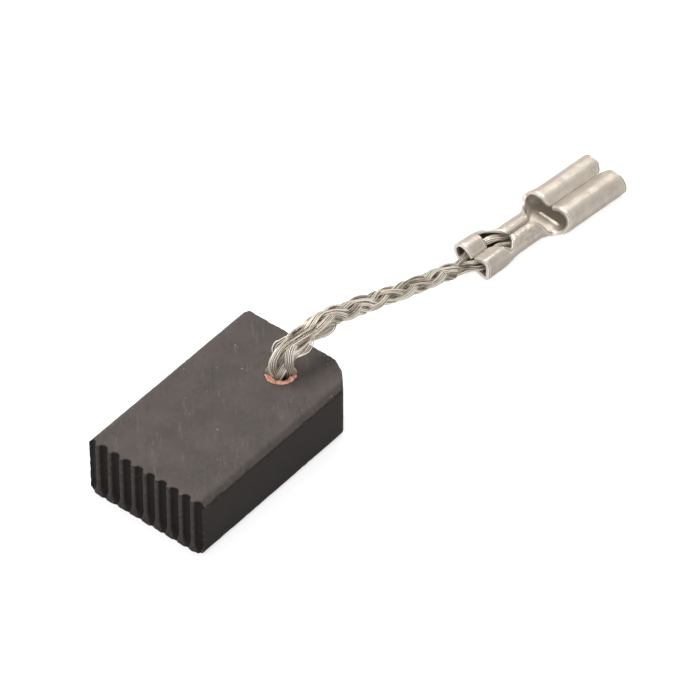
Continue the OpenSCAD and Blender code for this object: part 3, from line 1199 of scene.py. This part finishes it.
    def sweep(self, obj: bpy.types.Object) -> bpy.types.Mesh:
        """Sweeps a round wire, a little wavy, along each of the object's lines.

        Args:
            obj: the object that holds the lines.

        Returns:
            The wires.
        """
        g = GeometryGraph("braid_wires")
        radius = g.size("Wire radius", self.wire_r * MM)
        sides = g.size("Wire sides", self.wire_sides)
        wave = g.size("Waviness", self.waviness * MM)
        seed = g.add("ShaderNodeMath", {0: g.add("InputMeshIsland"), 1: 0.37}, operation="MULTIPLY")
        bend = g.add("ShaderNodeTexNoise", {"W": seed, "Scale": 700.0, "Detail": 1.0}, noise_dimensions="4D")
        inputs = {0: bend.outputs["Color"], 1: (0.5, 0.5, 0.5)}
        level = g.add("ShaderNodeVectorMath", inputs, operation="SUBTRACT")
        shift = g.add("ShaderNodeVectorMath", {0: level, "Scale": wave}, operation="SCALE")
        curves = g.add("MeshToCurve", {0: g.add("SetPosition", {"Geometry": g.entry, "Offset": shift})})
        ring = g.add("CurvePrimitiveCircle", {"Resolution": sides, "Radius": radius})
        wires = g.add("CurveToMesh", {"Curve": curves, "Profile Curve": ring, "Fill Caps": True})
        return g.run(obj, wires, self.finish.material())

    def build(
        self, terminal: "Terminal", receptacle: bpy.types.Object, camera_back: Array
    ) -> bpy.types.Object:
        """Args:
            terminal: the terminal's shape, which the strands follow.
            receptacle: the terminal's object, which is on the cord's end; not used.
            camera_back: the direction that the stray loops are square to.

        Returns:
            The braid's object.
        """
        lines, tones, stains_and_shades = self.wire_lines(terminal)
        for i, line in enumerate(self.stray_lines(camera_back)):
            lines.append(line)
            tones.append(np.full(len(line), self.stray_tone))
            stains_and_shades.append(np.full(len(line), self.stray_stain * (i % 2)))
        starts = np.cumsum([0] + [len(line) for line in lines])
        edges = [(a + i, a + i + 1) for a, line in zip(starts, lines) for i in range(len(line) - 1)]
        obj = shown("braid", mesh_of("wire_lines", np.vstack(lines), [], edges))
        set_values(obj.data, tone=np.concatenate(tones), stain=np.concatenate(stains_and_shades))
        obj.data = self.sweep(obj)
        smooth(obj.data)
        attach(obj, "root")
        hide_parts("pigtail")
        return obj


# ---------------------------------------------------------------------------------------------
# The terminal
# ---------------------------------------------------------------------------------------------


def straight(length: float) -> Bend:
    """A straight step of a folded section."""
    return length, 0.0


def kink(turn: float) -> Bend:
    """A turn on the spot, in degrees."""
    return 0.0, turn


def arc(radius: float, turn: float) -> Bend:
    """A bend of a radius and a turn in degrees."""
    return radius * math.radians(turn), turn


def filleted(corners: Sequence[Triple]) -> Array:
    """A line with each corner rounded by its own radius.

    Args:
        corners: each corner's two coordinates and radius.

    Returns:
        The line, one row a point.
    """
    t = np.linspace(0, 1, 7)[:, None]
    table = np.array(corners)
    line = [table[0, :2]]
    for before, here, after in zip(table, table[1:], table[2:]):
        q, radius = here[:2], here[2]
        a, b = (
            q + step / max(np.linalg.norm(step), TINY) * min(radius, np.linalg.norm(step) * 0.49)
            for step in (before[:2] - q, after[:2] - q)
        )
        line += list(a * (1 - t) ** 2 + q * 2 * t * (1 - t) + b * t**2)
    return np.vstack([*line, table[-1, :2]])


def to_edge(points: Array, loop: Array) -> Array:
    """The distance from each point to a closed outline.

    Args:
        points: one row a point.
        loop: the outline.

    Returns:
        One distance a point.
    """
    d = np.roll(loop, -1, axis=0) - loop
    best = np.full(len(points), np.inf)
    batch = 2000
    for start in range(0, len(points), batch):
        part = points[start : start + batch, None, :] - loop[None]
        t = np.clip((part * d).sum(2) / (d * d).sum(1), 0, 1)
        best[start : start + batch] = np.linalg.norm(part - d * t[..., None], axis=2).min(1)
    return best


def within(points: Array, loop: Array) -> Array:
    """Which points lie inside a closed outline.

    Args:
        points: one row a point.
        loop: the outline.

    Returns:
        True for each point inside.
    """
    found = np.zeros(len(points), bool)
    for (x0, y0), (x1, y1) in zip(loop, np.roll(loop, -1, axis=0)):
        if y0 != y1:
            crosses = (points[:, 1] < max(y0, y1)) & (points[:, 1] >= min(y0, y1))
            found ^= crosses & (points[:, 0] < x0 + (points[:, 1] - y0) * (x1 - x0) / (y1 - y0))
    return found


@dataclass(frozen=True)
class Half:
    """One half of the terminal's blank, on one side of its middle line.

    Attributes:
        sign: the side, looking towards the tab: +1 is left.
        grip: the folds of its braid wing, from the floor's middle to the edge.
        crimp: the folds of its half of the wire crimp.
        wing: where the wing starts and ends along the terminal.
        window: the edge's distance along and out between the wing and the crimp.
        neck: the same between the crimp and the roll.
    """

    sign: int
    grip: tuple[Bend, ...]
    crimp: tuple[Bend, ...]
    wing: tuple[float, float]
    window: Line
    neck: Line


class Side(Enum):
    """The two halves of the terminal's blank."""

    RIGHT = Half(
        -1,
        (
            kink(-14), straight(1.72), arc(0.35, 104), straight(1),
            arc(0.5, 108), straight(1.1), arc(0.6, 4), straight(0),
        ),
        (
            kink(0), straight(0.55), arc(0.85, 90), straight(0),
            arc(0.85, 90), straight(0.14), arc(0.35, 62), straight(0),
        ),
        (0.0, 2.1),
        ((2.7, 4.1), (3.25, 3.15), (3.62, 2.95), (3.95, 3.1), (4.3, 3.3)),
        (
            (7.55, 3.1), (7.9, 2.55), (8.25, 2.0), (8.6, 1.66),
            (8.85, 1.66), (9.09, 2.0), (9.43, 2.8), (9.74, 3.5),
        ),
    )
    LEFT = Half(
        1,
        (
            kink(-12), straight(0.85), arc(1, 102), straight(0),
            arc(1, 90), straight(0.1), arc(0.9, 42), straight(0.75),
        ),
        (
            kink(0), straight(0.57), arc(0.93, 90), straight(0),
            arc(0.93, 90), straight(0.14), arc(0.35, 62), straight(0),
        ),
        (-0.2, 1.95),
        ((2.05, 3.6), (2.5, 3.38), (3.0, 3.35), (3.5, 3.4), (4.0, 3.5)),
        ((7.55, 3.3), (8.0, 3.0), (8.5, 2.75), (8.9, 2.8), (9.2, 3.05), (9.5, 3.4), (9.78, 3.8)),
    )


@dataclass
class Terminal:
    """The push-on receptacle: one folded sheet with braid wings, a wire crimp, a neck and two rolls."""

    sheet_t: float = 0.4
    grip_l: float = 2.2
    grip_extra: float = 0.8
    window_l: float = 2.2
    crimp_l: float = 3.0
    neck_l: float = 2.6
    roll_l: float = 7.6
    lead_in: float = 0.6
    lip_cut: float = 0.9
    lift: float = 0.42
    shift: float = 0.5
    turn: float = 6.0
    rear: tuple[float, float] = (33.2, -2.55)
    outline_step: float = 0.085
    spacing: float = 0.115
    ring_depths: tuple[float, ...] = (0.03, 0.07, 0.13, 0.19, 0.25, 0.33)
    grid_margin: float = 0.40
    blend_l: float = 0.25
    bead_h: float = 0.11
    bead_w: float = 0.13
    bulge_h: float = 0.26
    bulge_w: float = 0.75
    roll: tuple[Bend, ...] = (
        kink(0), straight(1.7), arc(1, 90), straight(0),
        arc(1, 90), straight(0.35), arc(1.2, 32), straight(0.71),
    )
    finish: TinnedSheetFinish = TinnedSheetFinish()

    def __post_init__(self) -> None:
        """Works out the steps along the terminal and its own axes."""
        self.crimp_start = self.grip_l + self.window_l
        self.crimp_end = self.crimp_start + self.crimp_l
        self.roll_start = self.crimp_end + self.neck_l
        self.length = self.roll_start + self.roll_l
        a = math.radians(-self.turn)
        self.along = np.array([math.cos(a), math.sin(a), 0.0])
        self.across = np.array([-math.sin(a), math.cos(a), 0.0])
        end = self.grip_l + self.grip_extra
        self.entry_u = np.array([0, 0.733, 1.467, 2.2, end, end + 0.42, end + 0.98, self.crimp_start])
        self.entry_k = np.array([0, 0.03, 0.06, 0.10, 0.30, 0.55, 0.86, 1.0])
        self.neck_u = self.crimp_end + self.neck_l * np.array([0.1, 0.32, 0.5, 0.65, 0.78, 0.9])
        self.neck_k = np.array([0, 0.24, 0.5, 0.74, 0.9, 1.0])

    def shares(self, u: float) -> Array:
        """How far the section has gone from wings to crimp, and from crimp to rolls, at a place along it."""
        return np.array([np.interp(u, self.entry_u, self.entry_k), np.interp(u, self.neck_u, self.neck_k)])

    def folds(self, u: float, side: Side) -> list[Bend]:
        """The folds of one half of the section, from the floor's middle to the edge.

        Args:
            u: distance along the terminal from its rear.
            side: which half.

        Returns:
            The folds.
        """
        near, here, ahead = (self.shares(u + d) for d in (-self.blend_l, 0.0, self.blend_l))
        entry, neck = (0.25 * near + 0.5 * here + 0.25 * ahead).tolist()
        return [
            tuple((p * (1 - entry) + q * entry) * (1 - neck) + r * neck for p, q, r in zip(*steps))
            for steps in zip(side.value.grip, side.value.crimp, self.roll)
        ]

    def half_length(self, u: float, side: Side) -> float:
        """The length of the sheet from the middle of the floor to the wing's edge."""
        return sum(length for length, _ in self.folds(u, side))

    def spot(self, u: float, s: float) -> tuple[Array, float]:
        """A point on the sheet's middle surface, in the terminal's own axes.

        Args:
            u: distance along the terminal from its rear.
            s: distance along the section from the floor's middle, positive to the left.

        Returns:
            The point and the section's heading there, in radians.
        """
        side = Side.LEFT if s >= 0 else Side.RIGHT
        left = abs(s)
        out = up = heading = 0.0
        table = self.folds(u, side)
        for i, (length, angle) in enumerate(table):
            part = left if i == len(table) - 1 else min(left, length)
            turned = math.radians(angle) * (part / length if length > TINY else 1.0)
            chord = part if abs(turned) < TINY else part * math.sin(turned / 2) / (turned / 2)
            out += chord * math.cos(heading + turned / 2)
            up += chord * math.sin(heading + turned / 2)
            heading += turned
            left -= part
            if left <= TINY / 1000 and length > TINY:
                break
        raised = 1 - self.shares(u)[0]
        height = self.sheet_t / 2 + self.lift * raised + up
        return np.array([u, self.shift * raised + side.value.sign * out, height]), heading

    def world(self, points: Array) -> Array:
        """Points in the terminal's own axes, moved to their place in the frame."""
        return np.array([*self.rear, 0.0]) + points @ np.array([self.along, self.across, (0.0, 0.0, 1.0)])

    def strand(self, inner: Array, strand: Strand) -> Array:
        """Where one of the braid's strands runs.

        Args:
            inner: distances along the braid from the terminal's rear.
            strand: which strand.

        Returns:
            Points in the frame.
        """
        table = np.array(strand.value)
        fine = np.linspace(table[0, 0], table[-1, 0], 200)
        blur = np.ones(9) / 9
        places = read(fine, table[:, 0], table[:, 1:]).T
        soft = np.stack([np.convolve(np.pad(column, 4, "edge"), blur, "valid") for column in places], 1)
        return self.world(np.column_stack([inner, read(inner, fine, soft)]))

    def edge_line(self, side: Side) -> Array:
        """The blank's outline on one side, from its rear to its front.

        Args:
            side: which half.

        Returns:
            Points along and out.
        """
        half = side.value
        start, end = half.wing
        full = self.half_length(self.roll_start + 1, side)
        return filleted([
            (0.0, 0.0, 0.0),
            (start, self.half_length(0.0, side), 0.12),
            (end, self.half_length(end, side), 0.35),
            *((u, s, 0.2) for u, s in half.window),
            (self.crimp_start + 0.05, self.half_length(self.crimp_start, side), 0.3),
            (self.crimp_end - 0.2, self.half_length(self.crimp_end, side), 0.4),
            *((u, s, 0.25) for u, s in half.neck),
            (self.roll_start, 4.3, 0.4),
            (self.roll_start + 0.05, full, 0.5),
            (self.length - self.lead_in, full, 0.3),
            (self.length, full - self.lip_cut, 0.35),
            (self.length, 0.0, 0.0),
        ])

    def outline(self) -> Array:
        """The blank's whole outline, evenly spaced, counter-clockwise with u to the right and s up.

        Returns:
            The closed outline, one row a point.
        """
        right = self.edge_line(Side.RIGHT) * (1, -1)
        loop = np.vstack([right, self.edge_line(Side.LEFT)[::-1][1:-1], right[:1]])
        run = running(loop)
        count = int(run[-1] / self.outline_step)
        return read(np.linspace(0, run[-1], count, endpoint=False), run, loop)

    def blank(self) -> tuple[Array, list[list[int]], Array]:
        """The flat blank as triangles, with rings of points along its edge and a staggered grid inside.

        Returns:
            The points (u, s), the triangles and each point's distance to the edge.
        """
        loop = self.outline()
        n = len(loop)
        step = np.roll(loop, -1, axis=0) - np.roll(loop, 1, axis=0)
        inward = unit(np.stack([-step[:, 1], step[:, 0]], 1))
        fill = [loop]
        for depth in self.ring_depths:
            ring = loop + inward * depth
            fill.append(ring[to_edge(ring, loop) > depth * 0.93])
        half = loop[:, 1].max() + self.spacing
        us = np.arange(self.spacing, self.length, self.spacing)
        ss = np.arange(-half, half, self.spacing * 0.87)
        grid = np.array([(u + (i % 2) * self.spacing / 2, s) for i, s in enumerate(ss) for u in us])
        grid = grid[within(grid, loop)]
        fill.append(grid[to_edge(grid, loop) > self.grid_margin])
        points = [Vector(p) for p in np.vstack(fill).tolist()]
        edges = [(i, (i + 1) % n) for i in range(n)]
        made = geometry.delaunay_2d_cdt(points, edges, [list(range(n))], 1, 1e-6, False)
        spots = np.array([tuple(v) for v in made[0]])
        faces = np.array([list(f) for f in made[2]])
        faces = faces[within(spots[faces].mean(axis=1), loop)]
        return spots, faces.tolist(), to_edge(spots, loop)

    def folded(self, blank: Array) -> tuple[Array, Array]:
        """Folds the blank.

        Args:
            blank: the flat points (u, s).

        Returns:
            Each point's place on the sheet's middle surface and its outward normal, in the terminal's axes.
        """
        middle, normals = np.zeros((2, len(blank), 3))
        for i, (u, s) in enumerate(blank):
            middle[i], heading = self.spot(u, s)
            run = self.spot(u + 0.05, s)[0] - self.spot(u - 0.05, s)[0]
            run /= np.linalg.norm(run)
            flat = np.array([0.0, (1 if s >= 0 else -1) * math.sin(heading), -math.cos(heading)])
            normals[i] = flat - run * (flat @ run)
        return middle, unit(normals)

    def skins(self, blank: Array, middle: Array, normals: Array, margin: Array, struck: Array) -> Array:
        """The sheet's two skins, with its coined rim, tool marks, dents, bead and bulge.

        Args:
            blank: the flat points (u, s).
            middle: the folded points.
            normals: their outward normals.
            margin: their distance to the edge.
            struck: how hard the crimping tool struck them.

        Returns:
            The outer skin's points and then the inner's, in the frame.
        """
        u, s = blank.T
        rim = 1 - 0.36 * np.clip(1 - margin / 0.08, 0, 1) ** 2
        half_t = self.sheet_t / 2 * rim * (1 - 0.20 * bell(margin, 0.19, 0.05))
        rubbed = plateau(u, 1.1, 0.3, 2.9, 0.4) * plateau(-s, 2.4, 0.3, 4.2, 0.4)
        ripple = 0.012 * np.sin(2 * math.pi * u / 0.42 + 0.8 * np.sin(s * 1.7)) * struck
        ripple += 0.014 * np.sin(2 * math.pi * u / 0.30 + 0.5 * np.sin(s * 2.1)) * rubbed
        dents = noise_at(middle, 1.1, 4.0) * 0.022 + noise_at(middle, 3.1, 6.0) * 0.006
        dents[middle[:, 2] < 0.35] *= 0.2
        bead = self.bead_h * bell(u, self.roll_start + 0.1, self.bead_w) * ease((1.45 - np.abs(s)) / 0.35)
        outer = middle + normals * (half_t + np.minimum(ripple + dents, 0.012))[:, None]
        inner = middle - normals * (half_t - np.minimum(dents, 0.0) * 0.5 + bead)[:, None]
        bulge = self.bulge_h * bell(u, self.roll_start - 0.1, self.bulge_w)
        bulge = bulge * ease((middle[:, 1] - 1.2) / 1.6)
        outer[:, 1] += bulge
        inner[:, 1] += bulge
        outer[:, 2] = np.maximum(outer[:, 2], 0.002)
        return self.world(np.vstack([outer, inner]))

    def faced(self, faces: list[list[int]], middle: Array, normals: Array) -> list[list[int]]:
        """The faces of both skins and of the wall round their edge.

        Args:
            faces: the blank's triangles.
            middle: the folded points.
            normals: their outward normals.

        Returns:
            The faces, which point outwards.
        """
        n, outer, used = len(middle), [], {}
        for face in faces:
            a, b, c = (middle[k] for k in face)
            if np.cross(b - a, c - a) @ normals[face[0]] < 0:
                face = face[::-1]
            outer.append(face)
            used.update(dict.fromkeys(zip(face, face[1:] + face[:1])))
        inner = [[k + n for k in face[::-1]] for face in outer]
        return outer + inner + [[b, a, a + n, b + n] for a, b in used if (b, a) not in used]

    def build(self) -> bpy.types.Object:
        """Folds the blank, gives it its thickness and edges, and dresses it.

        Returns:
            The terminal's object, which stands for the CAD node.
        """
        blank, faces, margin = self.blank()
        middle, normals = self.folded(blank)
        u, s = blank.T
        away = np.abs(s)
        seam = plateau(u, self.roll_start + 0.3, 0.5, self.length - 1.0, 0.5) * ease((away - 5.4) / 0.2)
        margin = margin + seam
        in_crimp = plateau(u, self.crimp_start - 0.1, 0.3, self.crimp_end + 0.1, 0.3)
        crimped = in_crimp * ease((away - 1.2) / 0.6)
        patchy = np.clip(noise_at(middle, 0.8, 12.0) * 2.0 + 0.35, 0.0, 1.0)
        struck = crimped * patchy * np.where(s < 0, 1.0, 0.2)
        points = self.skins(blank, middle, normals, margin, struck)
        mesh = mesh_of("folded_sheet", points, self.faced(faces, middle, normals))
        gripped = 0.35 * ease((self.grip_l + 0.9 - u) / 0.5) * ease((away - 1.2) / 0.6)
        held = ease((self.crimp_start + 0.6 - u) / 0.8)
        set_values(
            mesh,
            pressed=np.tile(np.clip(crimped + gripped, 0, 1), 2),
            margin=np.tile(np.clip(margin, 0, 1), 2),
            # inside: the inner skin forward of the crimp, which takes painted light
            inside=np.r_[u * 0, 1 - held],
            # painted shade on the inner skin of the wings and crimp, deeper away from the edges
            sooty=np.r_[u * 0, held * ease(margin / 0.3)],
        )
        mesh.materials.append(self.finish.material())
        obj = shown("receptacle", mesh)
        smooth(mesh)
        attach(obj, "root")
        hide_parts("terminal")
        return obj


# ---------------------------------------------------------------------------------------------
# The studio
# ---------------------------------------------------------------------------------------------


def hang(obj: bpy.types.Object, place: Sequence[float], towards: Vector) -> None:
    """Puts a camera or a lamp at a place.

    Args:
        obj: the camera or lamp.
        place: where it goes, in metres.
        towards: the direction that it looks in.
    """
    obj.location = place
    obj.rotation_mode = "QUATERNION"
    obj.rotation_quaternion = towards.to_track_quat("-Z", "Y")


@dataclass(frozen=True)
class Lamp:
    """A soft square lamp: its name, place and side in metres, power in watts and tint."""

    name: str
    place: Triple
    side: float
    power: float
    tint: Colour


@dataclass
class Studio:
    """Camera, soft top light, dim surroundings and a pale floor."""

    eye: Triple = (-283.564, -245.911, 377.393)
    aim: Triple = (12.356, -4.557, 6.901)
    lens: float = 302.94
    sensor: float = 36.0
    clip: tuple[float, float] = (0.01, 5.0)  # metres
    lit: Triple = (0.014, -0.003, 0.0)  # metres
    lamps: tuple[Lamp, ...] = (
        Lamp("top_lamp", (0.13, 0.15, 0.36), 0.22, 0.92, (1.0, 0.985, 0.96)),
        Lamp("front_lamp", (-0.34, -0.15, 0.28), 0.26, 0.85, (0.98, 0.99, 1.0)),
    )
    sky: tuple[float, float] = (0.20, 0.36)
    sky_top: float = 0.9
    floor_half: float = 2000.0
    finish: FloorFinish = FloorFinish()

    def camera_back(self) -> Array:
        """The direction from the object to the camera."""
        back = np.array(self.eye) - np.array(self.aim)
        return back / np.linalg.norm(back)

    def camera(self) -> None:
        """Makes the camera."""
        data = bpy.data.cameras.new("camera")
        data.lens, data.sensor_width = self.lens, self.sensor
        data.clip_start, data.clip_end = self.clip
        bpy.context.scene.camera = shown("camera", data)
        hang(bpy.context.scene.camera, Vector(self.eye) * MM, -Vector(self.camera_back()))

    def light(self) -> None:
        """Makes the lamps."""
        for lamp in self.lamps:
            data = bpy.data.lights.new(lamp.name, "AREA")
            data.shape = "RECTANGLE"
            data.size = data.size_y = lamp.side
            data.energy, data.color = lamp.power, lamp.tint
            hang(shown(lamp.name, data), lamp.place, Vector(self.lit) - Vector(lamp.place))

    def surroundings(self) -> None:
        """A world that is brighter above than at the horizon, and white to the camera and in a gloss."""
        g = ShaderGraph(bpy.data.worlds.new("surroundings"))
        height = g.add("SeparateXYZ", {0: g.add("TexCoord").outputs["Generated"]}).outputs["Z"]
        sky = g.add("Background", {"Strength": g.span(height, 0.0, self.sky_top, *self.sky)})
        plain = g.add("Background", {"Color": WHITE})
        path = g.add("LightPath").outputs
        gloss = g.math(Op.MAXIMUM, path["Is Transmission Ray"], path["Is Glossy Ray"])
        seen = g.math(Op.MAXIMUM, path["Is Camera Ray"], gloss)
        bpy.context.scene.world = g.finish(g.add("MixShader", {0: seen, 1: sky, 2: plain}), "OutputWorld")

    def floor(self) -> None:
        """Makes the floor."""
        h = self.floor_half
        mesh = mesh_of("floor", [(-h, -h, 0), (h, -h, 0), (h, h, 0), (-h, h, 0)], [[0, 1, 2, 3]])
        mesh.materials.append(self.finish.material())
        shown("floor", mesh)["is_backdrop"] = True

    def build(self) -> None:
        """Makes the lamps, the world and the floor."""
        bpy.context.scene.view_settings.view_transform = "Standard"
        self.light()
        self.surroundings()
        self.floor()


def corners() -> list[list[float]]:
    """The whole object's box as plain lists, in metres."""
    return [list(corner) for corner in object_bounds()]


def main() -> None:
    """Builds the pieces in order."""
    logging.basicConfig(level=logging.INFO, format="%(name)s: %(message)s")
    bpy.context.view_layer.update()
    studio = Studio()
    studio.camera()
    terminal = Terminal()
    receptacle = terminal.build()
    LOG.info("terminal: %d faces", len(receptacle.data.polygons))
    braid = Braid().build(terminal, receptacle, studio.camera_back())
    LOG.info("pigtail: %d faces", len(braid.data.polygons))
    block = CarbonBlock().build()
    LOG.info("carbon block: %d faces", len(block.data.polygons))
    powder = CopperTamping().build()
    LOG.info("copper tamping: %d faces", len(powder.data.polygons))
    studio.build()


if __name__ == "__main__":
    main()
